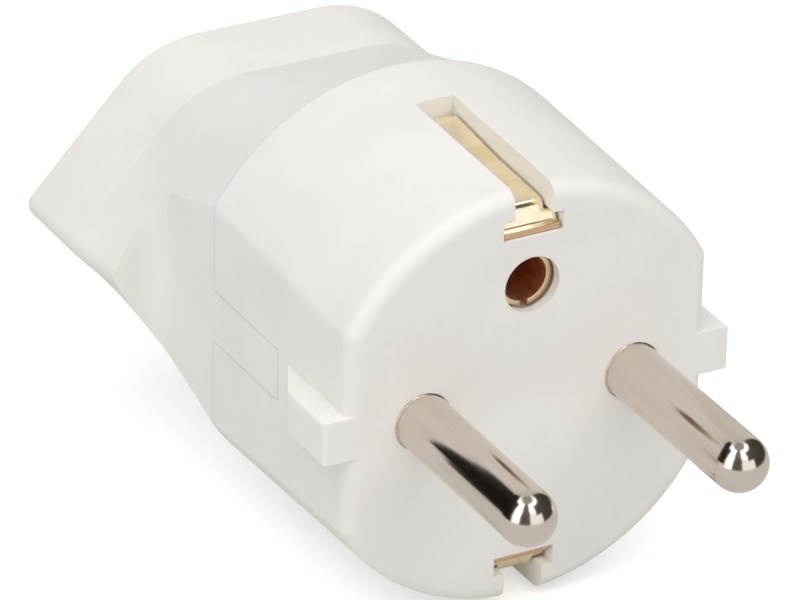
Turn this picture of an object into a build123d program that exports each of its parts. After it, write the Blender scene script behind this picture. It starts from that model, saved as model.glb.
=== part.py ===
from build123d import *
import os
from math import atan2, degrees, hypot

# Plug adapter: an earthed two-pin plug in front and a hexagonal three-hole socket at the back.
# Millimetres. The plug face lies at y = 0, the pins point along -Y and the socket opens along +Y.
# +Z is up, with the earth-pin hole above the pins.

# Plug pins, with the same spacing as the two outer holes of the socket
pin_diameter = 4.8
pin_length = 19.0
pin_spacing = 19.0
pin_root_step = 0.08
pin_collar_diameter = 7.0
pin_collar_thickness = 1.6
pin_tail_diameter = 2.4
pin_head_diameter = 3.5
pin_head_thickness = 0.8
pin_fit = 0.03

# Round plug body, built outwards from the pins
collar_room = 0.4
flat_wall = 2.9
flat_depth = 2.2
plug_draft = 0.6
plug_depth = 23.0
face_wall = 3.0
round_wall = 2.0
face_edge_round = 1.3
flat_corner_round = 1.0
seam_bevel = 0.04

# Side ribs that guide the plug into its wall socket
rib_rise = 2.1
rib_height = 3.8
rib_length = 6.1
rib_ramp = 4.0
rib_round = 0.3

# Earth-pin hole and the split sleeve behind it, which has room to spring open
earth_hole_diameter = 4.9
earth_hole_height = 10.0
earth_hole_lip = 0.9
sleeve_bore_diameter = 4.0
sleeve_wall = 0.45
sleeve_length = 14.5
sleeve_setback = 0.4
sleeve_room = 0.45
sleeve_split = 0.7
sleeve_cover = 1.4

# Earth slots at the top and the bottom of the plug
slot_width = 3.5
slot_cavity_width = 5.4
slot_side_wall = 1.7
slot_floor_wall = 1.4

# Earth bracket, folded from one strip
strip_thickness = 0.5
strip_width = 3.1
strip_head_width = 5.0
strip_head_length = 1.0
strip_head_room = 1.15
strip_toe_length = 0.7
strip_ramp_length = 0.8
strip_ramp_rise = 1.75
strip_crease_depth = 8.6
strip_crease_rise = 0.25
strip_back_rise = 0.7
strip_setback = 0.3
strip_bend_round = 0.5
strip_gap = 0.05
web_gap = 0.2

# Latch tongues on the flats
tongue_width = 4.6
tongue_thickness = 1.3
tongue_length = 11.2
tongue_gap = 0.03
catch_length = 2.4
catch_offset = 1.4
catch_depth = 0.6

# Neck and hexagonal socket body
neck_length = 9.6
neck_blend = 5.9
hex_length = 14.9
hex_width = 43.6
hex_height = 25.2
hex_flat = 20.0
hex_ridge_round = 1.2
hex_corner_round = 10.0
hex_back_round = 0.8
shoulder_round = 1.0
shoulder_root_round = 2.0

# Socket recess and its holes
recess_width = 36.0
recess_height = 18.0
recess_ridge_round = 1.0
recess_corner_round = 3.0
recess_depth = 10.0
recess_mouth_round = 0.5
floor_wall = 2.0
socket_hole_diameter = 4.4
socket_earth_offset = 5.0
socket_hole_lead = 0.5

# Inside of the socket body
chamber_gap = 0.2
chamber_height = 20.0
lug_length = 3.5
lug_thickness = 1.6
lug_width = 4.6
lug_gap = 0.15
post_diameter = 5.0
post_drop = 6.0

# Contact carrier
carrier_plate = 3.0
carrier_gap = 0.15
cell_wall = 0.9
cell_gap = 0.15
carrier_post_width = 6.0

# Spring contacts for pins of 4 mm
contact_thickness = 0.5
contact_width = 4.6
contact_reach = 2.75
contact_pinch = 1.75
contact_mouth = 2.3
contact_knee = 0.5
contact_grip = 0.8
contact_bend_round = 0.7
contact_end_gap = 1.2
tail_fit = 0.05

# Rivet of the earth contact
rivet_diameter = 2.0
rivet_head_diameter = 3.4
rivet_head_thickness = 0.6

# Distances from the plug axis, worked out from the sizes above
pin_x = pin_spacing / 2
pin_root_radius = pin_diameter / 2 + pin_root_step
cavity_reach = pin_x + pin_collar_diameter / 2 + collar_room
flat_reach = cavity_reach + flat_wall
face_radius = flat_reach + flat_depth
rim_radius = face_radius + plug_draft
rib_reach = flat_reach + rib_rise
cavity_radius = face_radius - round_wall
sleeve_radius = sleeve_bore_diameter / 2 + sleeve_wall
sleeve_seat_radius = sleeve_radius + sleeve_room
strip_floor = earth_hole_height + sleeve_seat_radius + slot_floor_wall
strip_front_height = strip_floor + strip_gap + strip_thickness
strip_ramp_height = strip_front_height + strip_ramp_rise
strip_crease_height = strip_ramp_height + strip_crease_rise
strip_back_height = strip_crease_height + strip_back_rise
slot_lip_height = strip_front_height + strip_head_room
block_reach = slot_cavity_width / 2 + slot_side_wall
block_floor = earth_hole_height - sleeve_seat_radius - sleeve_cover
trough_floor = strip_floor - slot_floor_wall
lug_inner_reach = block_reach + lug_gap
lug_outer_reach = lug_inner_reach + lug_width
cell_reach = contact_width / 2 + cell_gap + cell_wall
cell_rise = contact_reach + cell_gap + cell_wall
chamber_radius = hypot(pin_x + cell_reach, cell_rise) + chamber_gap
recess_flat = recess_width - recess_height * (hex_width - hex_flat) / hex_height

# Distances behind the plug face, worked out from the sizes above
collar_end = face_wall + pin_collar_thickness
plate_end = collar_end + carrier_plate
sleeve_front = earth_hole_lip + sleeve_setback
web_depth = sleeve_front + sleeve_length
web_end = web_depth + strip_thickness
slot_end = web_end + web_gap
block_end = web_depth - rivet_head_thickness - web_gap
tongue_front = plug_depth - tongue_length
catch_front = tongue_front + catch_offset
catch_back = catch_front + catch_length
shoulder_depth = plug_depth + neck_length
neck_end = shoulder_depth + neck_blend
overall_depth = shoulder_depth + hex_length
floor_front = overall_depth - recess_depth
floor_back = floor_front - floor_wall
contact_end = floor_back - contact_end_gap
back = (0, 1, 0)
cut_over = 1.0


def across(depth):
    # Plane square to the plug axis, with X and Z as its own axes
    return Plane.XZ.offset(-depth)


def hexagon(width, height, flat, ridge_round, corner_round):
    # Hexagon with its long axis along X: rounded ridges left and right, rounded corners above and below
    with BuildSketch(mode=Mode.PRIVATE) as outline:
        with BuildLine():
            Polyline(
                (width / 2, 0), (flat / 2, height / 2), (-flat / 2, height / 2),
                (-width / 2, 0), (-flat / 2, -height / 2), (flat / 2, -height / 2), close=True,
            )
        make_face()
        fillet(outline.vertices().filter_by(lambda v: abs(v.Y) > height / 4), corner_round)
        fillet(outline.vertices().filter_by(lambda v: abs(v.X) > width / 2 - ridge_round), ridge_round)
    return outline.sketch


def split_circle(radius, outline):
    # Circle cut at the angles of an outline's corners, so that the two loft without a twist
    angles = sorted(degrees(atan2(v.Y, v.X)) for v in outline.vertices())
    with BuildSketch(mode=Mode.PRIVATE) as disc:
        with BuildLine():
            for start, end in zip(angles, angles[1:] + [angles[0] + 360]):
                CenterArc((0, 0), radius, start, end - start)
        make_face()
    return disc.sketch


def folded(points, thickness, bend_round):
    # Section of a folded sheet: its middle line with rounded bends, given a thickness
    with BuildSketch(mode=Mode.PRIVATE) as section:
        with BuildLine():
            FilletPolyline(*points, radius=bend_round)
        trace(line_width=thickness)
    return section.sketch


os.makedirs("parts", exist_ok=True)

# Front body
with BuildPart() as front_body:
    with BuildSketch(Plane.XY):
        with BuildLine():
            Polyline((0, 0), (face_radius, 0), (rim_radius, plug_depth), (0, plug_depth), close=True)
        make_face()
    revolve(axis=Axis.Y)
    with BuildSketch(across(0)):
        Rectangle(2 * flat_reach, 4 * rim_radius)
    extrude(amount=plug_depth, dir=back, mode=Mode.INTERSECT)
    long_edges = front_body.edges().filter_by(lambda e: e.bounding_box().size.Y > plug_depth / 2)
    fillet(long_edges, flat_corner_round)
    fillet(front_body.faces().sort_by(Axis.Y)[0].edges(), face_edge_round)
    chamfer(front_body.faces().sort_by(Axis.Y)[-1].edges(), seam_bevel)

    # Ribs, flush with the face and sloping back into the flats
    with BuildSketch(Plane.XY.offset(-rib_height / 2)):
        with BuildLine():
            Polyline(
                (cavity_reach, 0), (rib_reach, 0), (rib_reach, rib_length),
                (flat_reach, rib_length + rib_ramp), (cavity_reach, rib_length + rib_ramp), close=True,
            )
        make_face()
        mirror(about=Plane.YZ)
    extrude(amount=rib_height)
    rib_edges = front_body.edges().filter_by(lambda e: abs(e.center().X) > (rib_reach + flat_reach) / 2)
    fillet(rib_edges, rib_round)

    # Hollow behind the face, leaving a block under each earth slot
    with BuildSketch(across(face_wall)):
        Circle(cavity_radius)
        Rectangle(2 * cavity_reach, 2 * cavity_radius, mode=Mode.INTERSECT)
        with Locations((0, block_floor + cavity_radius)):
            Rectangle(2 * block_reach, 2 * cavity_radius, mode=Mode.SUBTRACT)
        with Locations((0, -trough_floor - cavity_radius)):
            Rectangle(2 * block_reach, 2 * cavity_radius, mode=Mode.SUBTRACT)
    extrude(amount=block_end - face_wall, dir=back, mode=Mode.SUBTRACT)
    with BuildSketch(across(block_end)):
        Circle(cavity_radius)
        Rectangle(2 * cavity_reach, 2 * cavity_radius, mode=Mode.INTERSECT)
    extrude(amount=plug_depth - block_end, dir=back, mode=Mode.SUBTRACT)

    # Earth slots, open at the face, with a wider hollow under their lips
    with BuildSketch(Plane.YZ):
        with BuildLine():
            Polyline(
                (-cut_over, strip_floor), (slot_end, strip_floor),
                (slot_end, 2 * rim_radius), (-cut_over, 2 * rim_radius), close=True,
            )
        make_face()
        mirror(about=Plane.XZ)
    extrude(amount=slot_width / 2, both=True, mode=Mode.SUBTRACT)
    with BuildSketch(across(0)):
        with Locations((0, (strip_floor + slot_lip_height) / 2), (0, -(strip_floor + slot_lip_height) / 2)):
            Rectangle(slot_cavity_width, slot_lip_height - strip_floor)
    extrude(amount=block_end, dir=back, mode=Mode.SUBTRACT)

    # Pin holes, the earth-pin hole and the seat of its sleeve
    with BuildSketch(across(0)):
        with GridLocations(pin_spacing, 0, 2, 1):
            Circle(pin_root_radius + pin_fit)
        with Locations((0, earth_hole_height)):
            Circle(earth_hole_diameter / 2)
    extrude(amount=face_wall, dir=back, mode=Mode.SUBTRACT)
    with BuildSketch(across(earth_hole_lip)):
        with Locations((0, earth_hole_height)):
            Circle(sleeve_seat_radius)
    extrude(amount=block_end - earth_hole_lip, dir=back, mode=Mode.SUBTRACT)

    # Seats of the latch tongues in the flats, each with a pocket for the catch
    with BuildSketch(Plane.XY):
        for side in (-1, 1):
            with BuildLine():
                Polyline(
                    (side * 2 * flat_reach, tongue_front - tongue_gap),
                    (side * (flat_reach - tongue_thickness - tongue_gap), tongue_front - tongue_gap),
                    (side * (flat_reach - tongue_thickness - tongue_gap), plug_depth),
                    (side * 2 * flat_reach, plug_depth), close=True,
                )
            make_face()
    extrude(amount=tongue_width / 2 + tongue_gap, both=True, mode=Mode.SUBTRACT)
    pocket_middle = (catch_front + catch_back) / 2
    with BuildSketch(Plane.XY):
        with Locations((-flat_reach, pocket_middle), (flat_reach, pocket_middle)):
            Rectangle(2 * (tongue_thickness + catch_depth + 2 * tongue_gap), catch_length + 2 * tongue_gap)
    extrude(amount=tongue_width / 2 + tongue_gap, both=True, mode=Mode.SUBTRACT)
front_body.part.label = "front_body"
export_step(front_body.part, "parts/front_body.step")

# Rear housing
with BuildPart() as rear_housing:
    hex_outline = hexagon(hex_width, hex_height, hex_flat, hex_ridge_round, hex_corner_round)
    with BuildSketch(across(shoulder_depth)):
        add(hex_outline)
    extrude(amount=overall_depth - shoulder_depth, dir=back)
    fillet(rear_housing.faces().sort_by(Axis.Y)[-1].edges(), hex_back_round)
    fillet(rear_housing.faces().sort_by(Axis.Y)[0].edges(), shoulder_round)

    # Neck: straight lines from the round rim to the hexagon, then the flats carried back to the shoulder
    with BuildSketch(across(plug_depth)):
        add(split_circle(rim_radius, hex_outline))
    with BuildSketch(across(neck_end)):
        add(hex_outline)
    loft(ruled=True)
    with BuildSketch(Plane.XY) as beside_flats:
        with BuildLine():
            Polyline(
                (flat_reach, plug_depth), (flat_reach, shoulder_depth),
                (hex_width, shoulder_depth), (hex_width, plug_depth), close=True,
            )
        make_face()
        fillet(beside_flats.vertices().sort_by(Axis.X)[:2].sort_by(Axis.Y)[-1], shoulder_root_round)
        mirror(about=Plane.YZ)
    extrude(amount=2 * rim_radius, both=True, mode=Mode.SUBTRACT)

    # Socket recess and the chamber for the contacts
    with BuildSketch(across(floor_front)):
        add(hexagon(recess_width, recess_height, recess_flat, recess_ridge_round, recess_corner_round))
    extrude(amount=recess_depth, dir=back, mode=Mode.SUBTRACT)
    fillet(rear_housing.faces().sort_by(Axis.Y)[-1].inner_wires().edges(), recess_mouth_round)
    with BuildSketch(across(plug_depth)):
        Circle(chamber_radius)
        Rectangle(2 * chamber_radius, chamber_height, mode=Mode.INTERSECT)
    extrude(amount=floor_back - plug_depth, dir=back, mode=Mode.SUBTRACT)

    # Post that holds the earth bracket against the carrier
    with BuildSketch(across(web_end)):
        with Locations((0, -post_drop)):
            Circle(post_diameter / 2)
    extrude(amount=floor_back - web_end, dir=back)

    # Socket holes with a lead-in
    with Locations(Plane((0, floor_front, 0), x_dir=(-1, 0, 0), z_dir=back)):
        with Locations((-pin_x, 0), (pin_x, 0), (0, socket_earth_offset)):
            CounterSinkHole(
                socket_hole_diameter / 2, socket_hole_diameter / 2 + socket_hole_lead, floor_wall, 90
            )

    # Locating lugs inside the front body
    with BuildSketch(across(plug_depth - lug_length)):
        Circle(cavity_radius - lug_gap)
        Circle(cavity_radius - lug_gap - lug_thickness, mode=Mode.SUBTRACT)
        Rectangle(2 * lug_outer_reach, 2 * cavity_radius, mode=Mode.INTERSECT)
        Rectangle(2 * lug_inner_reach, 2 * cavity_radius, mode=Mode.SUBTRACT)
    extrude(amount=lug_length, dir=back)

    # Latch tongues
    with BuildSketch(Plane.XY):
        with BuildLine():
            inner = flat_reach - tongue_thickness
            Polyline(
                (flat_reach, tongue_front), (inner, tongue_front), (inner, catch_front),
                (inner - catch_depth, catch_back), (inner, catch_back),
                (inner, plug_depth), (flat_reach, plug_depth), close=True,
            )
        make_face()
        mirror(about=Plane.YZ)
    extrude(amount=tongue_width / 2, both=True)
rear_housing.part.label = "rear_housing"
export_step(rear_housing.part, "parts/rear_housing.step")

# Contact carrier
with BuildPart() as contact_carrier:
    with BuildSketch(across(collar_end)):
        Circle(cavity_radius - carrier_gap)
        Rectangle(2 * (cavity_reach - carrier_gap), 2 * cavity_radius, mode=Mode.INTERSECT)
        with Locations((0, block_floor - carrier_gap + cavity_radius)):
            Rectangle(2 * (block_reach + carrier_gap), 2 * cavity_radius, mode=Mode.SUBTRACT)
        with Locations((0, -trough_floor + carrier_gap - cavity_radius)):
            Rectangle(2 * (block_reach + carrier_gap), 2 * cavity_radius, mode=Mode.SUBTRACT)
    extrude(amount=carrier_plate, dir=back)

    # A cell round each contact and a post behind the earth bracket
    with BuildSketch(across(plate_end)):
        with GridLocations(pin_spacing, 0, 2, 1):
            Rectangle(2 * cell_reach, 2 * cell_rise)
            Rectangle(2 * (cell_reach - cell_wall), 2 * (cell_rise - cell_wall), mode=Mode.SUBTRACT)
    extrude(amount=floor_back - carrier_gap - plate_end, dir=back)
    with BuildSketch(across(plate_end)):
        with Locations((0, -post_drop)):
            Rectangle(carrier_post_width, carrier_post_width)
    extrude(amount=web_depth - plate_end, dir=back)
    with BuildSketch(across(collar_end)):
        with GridLocations(pin_spacing, 0, 2, 1):
            Circle(pin_tail_diameter / 2 + tail_fit)
    extrude(amount=carrier_plate, dir=back, mode=Mode.SUBTRACT)
contact_carrier.part.label = "contact_carrier"
export_step(contact_carrier.part, "parts/contact_carrier.step")


def spring_clip(base):
    # Middle line of a folded spring clip: a base across its axis and two arms that pinch a pin
    half = contact_reach - contact_thickness / 2
    middle = base + contact_thickness / 2
    run = contact_end - middle
    pinch = contact_pinch + contact_thickness / 2
    mouth = contact_mouth + contact_thickness / 2
    arm = [(half, middle + contact_knee * run), (pinch, middle + contact_grip * run), (mouth, contact_end)]
    return [(-x, y) for x, y in reversed(arm)] + [(-half, middle), (half, middle)] + arm


# Plug pins: turned, with a round tip, a thicker root in the face, a collar behind it
# and a tail headed over the contact
head_start = plate_end + contact_thickness
head_end = head_start + pin_head_thickness
tip_middle = pin_diameter / 2 - pin_length
for name, x in (("line_pin", -pin_x), ("neutral_pin", pin_x)):
    with BuildPart() as plug_pin:
        with BuildSketch(Plane((x, 0, 0))):
            with BuildLine():
                Polyline(
                    (0, -pin_length), (0, head_end), (pin_head_diameter / 2, head_end),
                    (pin_head_diameter / 2, head_start), (pin_tail_diameter / 2, head_start),
                    (pin_tail_diameter / 2, collar_end), (pin_collar_diameter / 2, collar_end),
                    (pin_collar_diameter / 2, face_wall), (pin_root_radius, face_wall),
                    (pin_root_radius, 0), (pin_diameter / 2, 0), (pin_diameter / 2, tip_middle),
                )
                CenterArc((0, tip_middle), pin_diameter / 2, 0, -90)
            make_face()
        revolve(axis=Axis((x, 0, 0), back))
    plug_pin.part.label = name
    export_step(plug_pin.part, f"parts/{name}.step")

# Line and neutral contacts, each on the tail of its pin
for name, x in (("line_contact", -pin_x), ("neutral_contact", pin_x)):
    with BuildPart() as live_contact:
        with BuildSketch(Plane((x, 0, 0), x_dir=(0, 0, 1), z_dir=(-1, 0, 0))):
            add(folded(spring_clip(plate_end), contact_thickness, contact_bend_round))
        extrude(amount=contact_width / 2, both=True)
        with BuildSketch(across(plate_end)):
            with Locations((x, 0)):
                Circle(pin_tail_diameter / 2 + tail_fit)
        extrude(amount=contact_thickness, dir=back, mode=Mode.SUBTRACT)
    live_contact.part.label = name
    export_step(live_contact.part, f"parts/{name}.step")

# Earth bracket: the upper strip, the web across the plug and the lower strip.
# Each strip springs in its slot and ends in a wide toe that hooks under the lips at the face
with BuildPart() as earth_bracket:
    half_sheet = strip_thickness / 2
    toe_end = strip_setback + strip_toe_length
    strip = [
        (strip_setback, strip_front_height - half_sheet),
        (toe_end, strip_front_height - half_sheet),
        (toe_end + strip_ramp_length, strip_ramp_height - half_sheet),
        (strip_crease_depth, strip_crease_height - half_sheet),
        (web_depth + half_sheet, strip_back_height - half_sheet),
    ]
    with BuildSketch(Plane.YZ):
        add(folded(strip + [(y, -z) for y, z in reversed(strip)], strip_thickness, strip_bend_round))
    extrude(amount=strip_head_width / 2, both=True)
    with BuildSketch(across(strip_setback + strip_head_length)):
        with GridLocations(strip_width + strip_head_width, 2 * (strip_floor + rim_radius), 2, 2):
            Rectangle(strip_head_width, 2 * rim_radius)
    extrude(amount=plug_depth, dir=back, mode=Mode.SUBTRACT)
    with BuildSketch(across(web_depth)):
        with Locations((0, socket_earth_offset)):
            Circle(rivet_diameter / 2 + tail_fit)
    extrude(amount=strip_thickness, dir=back, mode=Mode.SUBTRACT)
earth_bracket.part.label = "earth_bracket"
export_step(earth_bracket.part, "parts/earth_bracket.step")

# Earth sleeve: a split tube that grips the earth pin of a wall socket
with BuildPart() as earth_sleeve:
    with BuildSketch(across(sleeve_front)):
        with Locations((0, earth_hole_height)):
            Circle(sleeve_radius)
            Circle(sleeve_bore_diameter / 2, mode=Mode.SUBTRACT)
            Rectangle(
                sleeve_split, 2 * sleeve_radius, align=(Align.CENTER, Align.MAX), mode=Mode.SUBTRACT
            )
    extrude(amount=sleeve_length, dir=back)
earth_sleeve.part.label = "earth_sleeve"
export_step(earth_sleeve.part, "parts/earth_sleeve.step")

# Earth contact: the same spring clip turned a quarter, riveted to the bracket
with BuildPart() as earth_contact:
    with BuildSketch(Plane.XY.offset(socket_earth_offset)):
        add(folded(spring_clip(web_end), contact_thickness, contact_bend_round))
    extrude(amount=contact_width / 2, both=True)
    with BuildSketch(across(web_end)):
        with Locations((0, socket_earth_offset)):
            Circle(rivet_diameter / 2 + tail_fit)
    extrude(amount=contact_thickness, dir=back, mode=Mode.SUBTRACT)
earth_contact.part.label = "earth_contact"
export_step(earth_contact.part, "parts/earth_contact.step")

# Earth rivet
with BuildPart() as earth_rivet:
    grip = strip_thickness + contact_thickness
    with BuildSketch(across(web_depth)):
        with Locations((0, socket_earth_offset)):
            Circle(rivet_diameter / 2)
    extrude(amount=grip, dir=back)
    with BuildSketch(across(web_depth - rivet_head_thickness), across(web_depth + grip)):
        with Locations((0, socket_earth_offset)):
            Circle(rivet_head_diameter / 2)
    extrude(amount=rivet_head_thickness, dir=back)
earth_rivet.part.label = "earth_rivet"
export_step(earth_rivet.part, "parts/earth_rivet.step")
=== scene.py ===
import math

import bpy
import numpy as np
from mathutils import Matrix, Vector


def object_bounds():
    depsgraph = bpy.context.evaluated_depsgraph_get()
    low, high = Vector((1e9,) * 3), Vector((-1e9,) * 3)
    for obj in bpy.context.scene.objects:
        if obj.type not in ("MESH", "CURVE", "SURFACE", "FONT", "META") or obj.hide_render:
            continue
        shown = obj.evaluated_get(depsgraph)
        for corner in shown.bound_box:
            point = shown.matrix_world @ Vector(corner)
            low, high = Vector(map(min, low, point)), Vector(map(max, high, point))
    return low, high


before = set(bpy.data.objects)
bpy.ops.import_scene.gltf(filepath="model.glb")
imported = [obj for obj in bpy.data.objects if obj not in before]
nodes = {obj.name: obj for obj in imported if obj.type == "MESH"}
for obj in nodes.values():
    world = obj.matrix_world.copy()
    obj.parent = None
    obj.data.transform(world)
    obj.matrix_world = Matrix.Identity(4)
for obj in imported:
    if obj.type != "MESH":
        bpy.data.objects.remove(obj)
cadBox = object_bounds()
print("frame loaded:", len(nodes), "pieces")

mm = 0.001


def fromHex(code):  # sRGB hex to linear RGBA
    srgb = np.array([int(code[i:i + 2], 16) for i in (1, 3, 5)]) / 255
    linear = np.where(srgb <= 0.04045, srgb / 12.92, ((srgb + 0.055) / 1.055) ** 2.4)
    return (*linear.tolist(), 1.0)


def patternScale(size):  # texture scale for marks of that many millimetres
    return 1 / (size * mm)


def streakScale(width, length):  # the same for streaks drawn out along Y, the plug's axis
    return patternScale(width), patternScale(length), patternScale(width)


def newMaterial(name):
    material = bpy.data.materials.new(name)
    material.use_nodes = True
    material.node_tree.nodes.clear()
    return material, material.node_tree


# Inputs are (socket, value or the output that feeds it), stops are a colour ramp's two (place, hex colour)
def addNode(tree, kind, inputs=(), stops=(), **settings):
    node = tree.nodes.new(kind)
    for name, value in settings.items():
        setattr(node, name, value)
    for socket, value in inputs:
        if isinstance(value, bpy.types.NodeSocket):
            tree.links.new(value, node.inputs[socket])
        else:
            node.inputs[socket].default_value = value
    for i, (place, colour) in enumerate(stops):
        node.color_ramp.elements[i].position = place
        node.color_ramp.elements[i].color = fromHex(colour)
    return node


# Moulded white polyamide: warm white, satin, with the fine spark-eroded grain of its tool, slow sink waves
# and very faint cloudy flow in the colour, so that broad faces are not one flat tone
bodyPlastic = {
    "colour": "#eeebe7", "cloudColour": "#eae6e2", "cloudSize": 9.0, "cloudSpan": (0.32, 0.62),
    "grainSize": 0.22, "grainDepth": 0.006, "waveSize": 6.0, "waveDepth": 0.02,
    "roughness": (0.52, 0.62), "ior": 1.5, "edgeRound": 0.08, "edgeSamples": 6,
    "glow": 0.2, "glowDepth": 0.8, "glowTint": (1.0, 0.95, 0.9),
}


def makeBodyPlastic(look):
    material, tree = newMaterial("polyamide_moulded_white")
    place = addNode(tree, "ShaderNodeTexCoord").outputs["Object"]
    cloud = addNode(tree, "ShaderNodeTexNoise", [
        ("Vector", place), ("Scale", patternScale(look["cloudSize"])), ("Detail", 3.0), ("Roughness", 0.5)])
    tone = addNode(tree, "ShaderNodeValToRGB", [("Fac", cloud.outputs["Fac"])],
                   stops=zip(look["cloudSpan"], (look["cloudColour"], look["colour"])))
    low, high = look["roughness"]
    gloss = addNode(tree, "ShaderNodeMapRange", [
        ("Value", cloud.outputs["Fac"]), ("From Min", 0.3), ("From Max", 0.7),
        ("To Min", low), ("To Max", high)])
    grain = addNode(tree, "ShaderNodeTexNoise", [
        ("Vector", place), ("Scale", patternScale(look["grainSize"])), ("Detail", 2.0), ("Roughness", 0.6)])
    wave = addNode(tree, "ShaderNodeTexNoise", [
        ("Vector", place), ("Scale", patternScale(look["waveSize"])), ("Detail", 1.0)])
    edge = addNode(tree, "ShaderNodeBevel", [("Radius", look["edgeRound"] * mm)], samples=look["edgeSamples"])
    sink = addNode(tree, "ShaderNodeBump", [
        ("Height", wave.outputs["Fac"]), ("Distance", look["waveDepth"] * mm), ("Strength", 1.0),
        ("Normal", edge.outputs["Normal"])])
    skin = addNode(tree, "ShaderNodeBump", [
        ("Height", grain.outputs["Fac"]), ("Distance", look["grainDepth"] * mm), ("Strength", 1.0),
        ("Normal", sink.outputs["Normal"])])
    shader = addNode(tree, "ShaderNodeBsdfPrincipled", [
        ("Base Color", tone.outputs["Color"]), ("Roughness", gloss.outputs["Result"]),
        ("Normal", skin.outputs["Normal"]), ("IOR", look["ior"]),
        ("Subsurface Weight", look["glow"]), ("Subsurface Radius", look["glowTint"]),
        ("Subsurface Scale", look["glowDepth"] * mm)])
    addNode(tree, "ShaderNodeOutputMaterial", [("Surface", shader.outputs["BSDF"])])
    return material


# Nickel over turned brass: a warm grey mirror, slightly drawn out round the pin by the turning marks,
# with light rub marks along it from being plugged in and softly broken edges
pinNickel = {
    "colour": "#ded4cb", "dullColour": "#d9cfc5", "turnPitch": 0.36, "turnDepth": 0.0008,
    "rubWidth": 0.25, "rubLength": 9.0, "rubSpan": (0.35, 0.6),
    "roughness": (0.14, 0.175), "edgeRound": 0.15, "edgeSamples": 8,
}


def makePinNickel(look):
    material, tree = newMaterial("nickel_plated_turned_brass")
    place = addNode(tree, "ShaderNodeTexCoord").outputs["Object"]
    turned = addNode(tree, "ShaderNodeTexWave", [  # its bands come back every pi / (10 * scale)
        ("Vector", place), ("Scale", math.pi / (10 * look["turnPitch"] * mm)), ("Distortion", 1.2),
        ("Detail", 2.0), ("Detail Scale", 1.4)], bands_direction="Y")
    stretch = addNode(tree, "ShaderNodeMapping", [
        ("Vector", place), ("Scale", streakScale(look["rubWidth"], look["rubLength"]))])
    rub = addNode(tree, "ShaderNodeTexNoise", [
        ("Vector", stretch.outputs["Vector"]), ("Scale", 1.0), ("Detail", 4.0), ("Roughness", 0.6)])
    tone = addNode(tree, "ShaderNodeValToRGB", [("Fac", rub.outputs["Fac"])],
                   stops=zip(look["rubSpan"], (look["dullColour"], look["colour"])))
    low, high = look["roughness"]
    gloss = addNode(tree, "ShaderNodeMapRange", [
        ("Value", rub.outputs["Fac"]), ("From Min", 0.35), ("From Max", 0.65),
        ("To Min", high), ("To Max", low)])
    edge = addNode(tree, "ShaderNodeBevel", [("Radius", look["edgeRound"] * mm)], samples=look["edgeSamples"])
    marks = addNode(tree, "ShaderNodeBump", [
        ("Height", turned.outputs["Fac"]), ("Distance", look["turnDepth"] * mm), ("Strength", 1.0),
        ("Normal", edge.outputs["Normal"])])
    shader = addNode(tree, "ShaderNodeBsdfPrincipled", [
        ("Base Color", tone.outputs["Color"]), ("Roughness", gloss.outputs["Result"]),
        ("Normal", marks.outputs["Normal"]), ("Metallic", 1.0)])
    addNode(tree, "ShaderNodeOutputMaterial", [("Surface", shader.outputs["BSDF"])])
    return material


# Rolled sheet brass, stamped and folded: pale gold with fine rolling lines along the strip, faint brown
# patches where it has begun to tarnish, and a redder sheared end in front of cutEnd, a place on Y
stripBrass = {
    "name": "brass_rolled_sheet", "colour": "#fff3d6",
    "tarnishColour": "#f6e3ba", "tarnishSize": 4.0, "tarnishSpan": (0.30, 0.56),
    "lineWidth": 0.16, "lineLength": 14.0, "lineDepth": 0.002, "roughness": (0.16, 0.22),
    "cutColour": "#dcb898", "cutEnd": 0.34, "edgeRound": 0.2, "edgeSamples": 8,
}
# Drawn brass tube: dull inside and bright on its sawn end. Behind cutEnd its red-brown colour is painted
# shade for the deep tube, darker than the same brass on the strip
sleeveBrassWithPaintedShade = dict(
    stripBrass, name="brass_drawn_tube_painted_shade", colour="#efb487", tarnishColour="#d58d5c", lineLength=9.0,
    roughness=(0.50, 0.62), cutColour="#f8e6c6", cutEnd=1.34)
# Bronze spring sheet: like the strip, but browner
contactBronze = dict(stripBrass, name="bronze_spring_sheet", colour="#dcb487", tarnishColour="#b07f4d")


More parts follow.
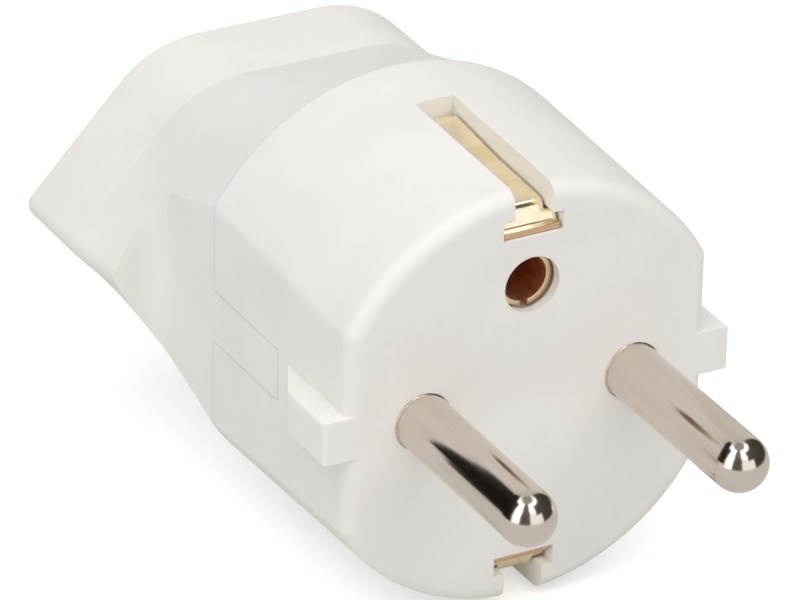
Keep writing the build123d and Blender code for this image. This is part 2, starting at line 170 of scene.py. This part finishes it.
def makeSheetMetal(look):
    material, tree = newMaterial(look["name"])
    place = addNode(tree, "ShaderNodeTexCoord").outputs["Object"]
    stretch = addNode(tree, "ShaderNodeMapping", [
        ("Vector", place), ("Scale", streakScale(look["lineWidth"], look["lineLength"]))])
    lines = addNode(tree, "ShaderNodeTexNoise", [
        ("Vector", stretch.outputs["Vector"]), ("Scale", 1.0), ("Detail", 3.0), ("Roughness", 0.55)])
    patches = addNode(tree, "ShaderNodeTexNoise", [
        ("Vector", place), ("Scale", patternScale(look["tarnishSize"])),
        ("Detail", 5.0), ("Roughness", 0.62)])
    tone = addNode(tree, "ShaderNodeValToRGB", [("Fac", patches.outputs["Fac"])],
                   stops=zip(look["tarnishSpan"], (look["tarnishColour"], look["colour"])))
    depth = addNode(tree, "ShaderNodeSeparateXYZ", [("Vector", place)])
    beyond = addNode(tree, "ShaderNodeMath", [
        (0, depth.outputs["Y"]), (1, look["cutEnd"] * mm)], operation="GREATER_THAN")
    skin = addNode(tree, "ShaderNodeMix", [  # sockets 6 and 7 are the colours, output 2 their mix
        (0, beyond.outputs["Value"]), (6, fromHex(look["cutColour"])), (7, tone.outputs["Color"])],
        data_type="RGBA")
    low, high = look["roughness"]
    gloss = addNode(tree, "ShaderNodeMapRange", [
        ("Value", lines.outputs["Fac"]), ("From Min", 0.3), ("From Max", 0.7),
        ("To Min", low), ("To Max", high)])
    edge = addNode(tree, "ShaderNodeBevel", [("Radius", look["edgeRound"] * mm)], samples=look["edgeSamples"])
    marks = addNode(tree, "ShaderNodeBump", [
        ("Height", lines.outputs["Fac"]), ("Distance", look["lineDepth"] * mm), ("Strength", 1.0),
        ("Normal", edge.outputs["Normal"])])
    shader = addNode(tree, "ShaderNodeBsdfPrincipled", [
        ("Base Color", skin.outputs[2]), ("Roughness", gloss.outputs["Result"]),
        ("Normal", marks.outputs["Normal"]), ("Metallic", 1.0)])
    addNode(tree, "ShaderNodeOutputMaterial", [("Surface", shader.outputs["BSDF"])])
    return material


# Glass-filled natural polyamide of the inner carrier: cream, dull, with short pale fibre flecks
carrierPlastic = {
    "colour": "#dcd5c6", "fleckColour": "#ece7dc", "fleckSize": 0.5, "fleckSpan": (0.45, 0.68),
    "fleckDepth": 0.01, "roughness": 0.62, "ior": 1.53,
}


def makeCarrierPlastic(look):
    material, tree = newMaterial("polyamide_glass_filled")
    place = addNode(tree, "ShaderNodeTexCoord").outputs["Object"]
    fleck = addNode(tree, "ShaderNodeTexNoise", [
        ("Vector", place), ("Scale", patternScale(look["fleckSize"])), ("Detail", 4.0), ("Distortion", 0.8)])
    tone = addNode(tree, "ShaderNodeValToRGB", [("Fac", fleck.outputs["Fac"])],
                   stops=zip(look["fleckSpan"], (look["colour"], look["fleckColour"])))
    marks = addNode(tree, "ShaderNodeBump", [
        ("Height", fleck.outputs["Fac"]), ("Distance", look["fleckDepth"] * mm), ("Strength", 1.0)])
    shader = addNode(tree, "ShaderNodeBsdfPrincipled", [
        ("Base Color", tone.outputs["Color"]), ("Roughness", look["roughness"]),
        ("Normal", marks.outputs["Normal"]), ("IOR", look["ior"])])
    addNode(tree, "ShaderNodeOutputMaterial", [("Surface", shader.outputs["BSDF"])])
    return material


bodyMaterial = makeBodyPlastic(bodyPlastic)
pinMaterial = makePinNickel(pinNickel)
stripMaterial = makeSheetMetal(stripBrass)
sleeveMaterialWithPaintedShade = makeSheetMetal(sleeveBrassWithPaintedShade)
contactMaterial = makeSheetMetal(contactBronze)
carrierMaterial = makeCarrierPlastic(carrierPlastic)
finishes = {
    "front_body": bodyMaterial, "rear_housing": bodyMaterial, "contact_carrier": carrierMaterial,
    "line_pin": pinMaterial, "neutral_pin": pinMaterial,
    "line_contact": contactMaterial, "neutral_contact": contactMaterial, "earth_contact": contactMaterial,
    "earth_bracket": stripMaterial, "earth_sleeve": sleeveMaterialWithPaintedShade, "earth_rivet": sleeveMaterialWithPaintedShade,
}
for name, material in finishes.items():
    for slot in nodes[name].material_slots:
        slot.material = material
print("materials on", len(finishes), "pieces")


def addGrid(name, points):  # quads between the neighbours in a grid of points
    rows, columns = points.shape[:2]
    corner = np.arange(rows * columns).reshape(rows, columns)
    quads = np.stack([corner[:-1, :-1], corner[:-1, 1:], corner[1:, 1:], corner[1:, :-1]], -1)
    mesh = bpy.data.meshes.new(name)
    mesh.from_pydata(points.reshape(-1, 3).tolist(), [], quads.reshape(-1, 4).tolist())
    grid = bpy.data.objects.new(name, mesh)
    bpy.context.scene.collection.objects.link(grid)
    return grid


def levelSquare(half, height):  # the four corners of a square about the Z axis, for a face that looks up
    across = np.array([-half, half])
    return np.stack([*np.meshgrid(across, across), np.full((2, 2), height)], -1)


def direction(turn, lift):  # (cos lift cos turn, cos lift sin turn, sin lift), turn 0 is +X and 90 is +Y
    turn, lift = np.radians(turn), np.radians(lift)
    return np.stack([np.cos(lift) * np.cos(turn), np.cos(lift) * np.sin(turn), np.sin(lift)], -1)


def seenAsBackground(tree):  # 1 for rays from the camera, a reflection or through glass
    path = addNode(tree, "ShaderNodeLightPath").outputs
    mirrored = addNode(tree, "ShaderNodeMath", [
        (0, path["Is Glossy Ray"]), (1, path["Is Transmission Ray"])], operation="MAXIMUM")
    return addNode(tree, "ShaderNodeMath", [
        (0, path["Is Camera Ray"]), (1, mirrored.outputs["Value"])], operation="MAXIMUM").outputs["Value"]


# Floor under the lowest edge: white paper that keeps the shadow, clear from below. Size in metres
floorLook = {"size": 6.0, "drop": 0.02, "colour": "#e6e6e5", "whiteColour": "#ffffff", "whiteLift": 0.46}
floorHeight = cadBox[0][2] - floorLook["drop"] * mm
floor = addGrid("floor", levelSquare(floorLook["size"] / 2, floorHeight))
floorMaterial, tree = newMaterial("paper_sweep_white")
matt = addNode(tree, "ShaderNodeBsdfDiffuse", [("Color", fromHex(floorLook["colour"]))])
lifted = addNode(tree, "ShaderNodeMath", [
    (0, seenAsBackground(tree)), (1, floorLook["whiteLift"])], operation="MULTIPLY")
white = addNode(tree, "ShaderNodeEmission", [
    ("Color", fromHex(floorLook["whiteColour"])), ("Strength", lifted.outputs["Value"])])
paper = addNode(tree, "ShaderNodeAddShader", [(0, matt.outputs["BSDF"]), (1, white.outputs["Emission"])])
under = addNode(tree, "ShaderNodeNewGeometry").outputs["Backfacing"]
clear = addNode(tree, "ShaderNodeBsdfTransparent")
floorShade = addNode(tree, "ShaderNodeMixShader", [
    (0, under), (1, paper.outputs["Shader"]), (2, clear.outputs["BSDF"])])
addNode(tree, "ShaderNodeOutputMaterial", [("Surface", floorShade.outputs["Shader"])])
floor.data.materials.append(floorMaterial)

# World: soft even room light, plain white to the camera and in reflections
roomLook = {"colour": "#ffffff", "level": 0.47, "white": 1.0}
world = bpy.data.worlds.new("studio")
bpy.context.scene.world = world
world.use_nodes = True
tree = world.node_tree
tree.nodes.clear()
level = addNode(tree, "ShaderNodeMapRange", [
    ("Value", seenAsBackground(tree)), ("To Min", roomLook["level"]), ("To Max", roomLook["white"])])
sky = addNode(tree, "ShaderNodeBackground", [
    ("Color", fromHex(roomLook["colour"])), ("Strength", level.outputs["Result"])])
addNode(tree, "ShaderNodeOutputWorld", [("Surface", sky.outputs["Background"])])

# Wide softbox high in front, and a tall one on either side of the camera that shows as a bright bar in
# the tips. Turn and lift point to each lamp's middle in degrees, sizes are in metres, a glow of 1 is white
lampLook = {
    "over": {"turn": 250, "lift": 71, "away": 0.50, "wide": 0.90, "tall": 0.55, "glow": 1.42},
    "left_softbox": {"turn": 199, "lift": 30, "away": 0.45, "wide": 0.25, "tall": 0.52, "glow": 0.75},
    "right_softbox": {"turn": 278, "lift": 30, "away": 0.45, "wide": 0.40, "tall": 0.52, "glow": 0.18},
}
for name, look in lampLook.items():
    lamp = bpy.data.lights.new(name, "AREA")
    lamp.shape = "RECTANGLE"
    lamp.size, lamp.size_y = look["wide"], look["tall"]
    lamp.energy = math.pi * look["wide"] * look["tall"] * look["glow"]
    lampObject = bpy.data.objects.new(name, lamp)
    toLamp = Vector(direction(look["turn"], look["lift"]))
    lampObject.location = toLamp * look["away"]
    lampObject.rotation_euler = toLamp.to_track_quat("Z", "Y").to_euler()
    lampObject.visible_camera = False
    bpy.context.scene.collection.objects.link(lampObject)

# Room that only shows as a first reflection in the metal: a pale back wall, dark felt walls beside it and
# between the softboxes, a grey ceiling and the table top. A wall is a patch of a sphere between its turns
# and lifts. Rays past the first reflection go through it, so it takes no light from the slots
roomShape = {"radius": 0.40, "patchSteps": 25, "tableAbove": 0.5, "deepestRay": 1.5}
roomFelts = {
    "wall_back": {"turn": (32, 100), "lift": (-3, 74), "colour": "#f2eee8"},
    "wall_behind": {"turn": (100, 183), "lift": (-3, 61), "colour": "#1c1815"},
    "wall_camera": {"turn": (215, 253), "lift": (-3, 80), "colour": "#6c635d"},
    "wall_right": {"turn": (303, 392), "lift": (-3, 61), "colour": "#505045"},
    "wall_right_high": {"turn": (281, 303), "lift": (27, 61), "colour": "#505045"},
    "ceiling": {"turn": (0, 360), "lift": (72, 90), "colour": "#b5b4b6"},
    "table": {"colour": "#d6d6d2"},
}
for name, look in roomFelts.items():
    if name == "table":
        points = levelSquare(roomShape["radius"], floorHeight + roomShape["tableAbove"] * mm)
    else:
        turns, lifts = (np.linspace(*look[k], roomShape["patchSteps"]) for k in ("turn", "lift"))
        points = roomShape["radius"] * direction(*np.meshgrid(turns, lifts))
    panel = addGrid("felt_" + name, points)
    panel.visible_camera = panel.visible_diffuse = panel.visible_shadow = False
    feltMaterial, tree = newMaterial("felt_" + name)
    felt = addNode(tree, "ShaderNodeBsdfDiffuse", [("Color", fromHex(look["colour"]))])
    clear = addNode(tree, "ShaderNodeBsdfTransparent")
    rayDepth = addNode(tree, "ShaderNodeLightPath").outputs["Ray Depth"]
    deep = addNode(tree, "ShaderNodeMath", [
        (0, rayDepth), (1, roomShape["deepestRay"])], operation="GREATER_THAN")
    feltShade = addNode(tree, "ShaderNodeMixShader", [
        (0, deep.outputs["Value"]), (1, felt.outputs["BSDF"]), (2, clear.outputs["BSDF"])])
    addNode(tree, "ShaderNodeOutputMaterial", [("Surface", feltShade.outputs["Shader"])])
    panel.data.materials.append(feltMaterial)
print("floor, room and lamps set")

# Camera fitted to the pins and the earth hole in the photograph, in millimetres, degrees and pixels
cameraLook = {
    "azimuth": -29.0, "elevation": 28.195, "roll": 1.329, "distance": 542.18,
    "target": (-12.229, 0.0, 11.822), "focalPixels": 6977.4, "middle": (396.0, 296.8),
    "picture": (800, 600), "sensor": 36, "clipStart": 10.0,
}
azimuth, elevation, roll = (math.radians(cameraLook[k]) for k in ("azimuth", "elevation", "roll"))
away = Vector((
    math.sin(azimuth) * math.cos(elevation), -math.cos(azimuth) * math.cos(elevation), math.sin(elevation)))
right = Vector((math.cos(azimuth), math.sin(azimuth), 0))
up = away.cross(right)
right, up = right * math.cos(roll) + up * math.sin(roll), up * math.cos(roll) - right * math.sin(roll)
eye = (Vector(cameraLook["target"]) + away * cameraLook["distance"]) * mm
width, height = cameraLook["picture"]
cameraData = bpy.data.cameras.new("camera")
cameraData.sensor_fit = "HORIZONTAL"
cameraData.sensor_width = cameraLook["sensor"]
cameraData.lens = cameraLook["focalPixels"] / width * cameraLook["sensor"]
cameraData.shift_x = (width / 2 - cameraLook["middle"][0]) / width
cameraData.shift_y = (cameraLook["middle"][1] - height / 2) / width
cameraData.clip_start = cameraLook["clipStart"] * mm
camera = bpy.data.objects.new("camera", cameraData)
camera.matrix_world = Matrix.Translation(eye) @ Matrix((right, up, away)).transposed().to_4x4()
bpy.context.scene.collection.objects.link(camera)
bpy.context.scene.camera = camera
bpy.context.scene.view_settings.view_transform = "Standard"
print("camera set")
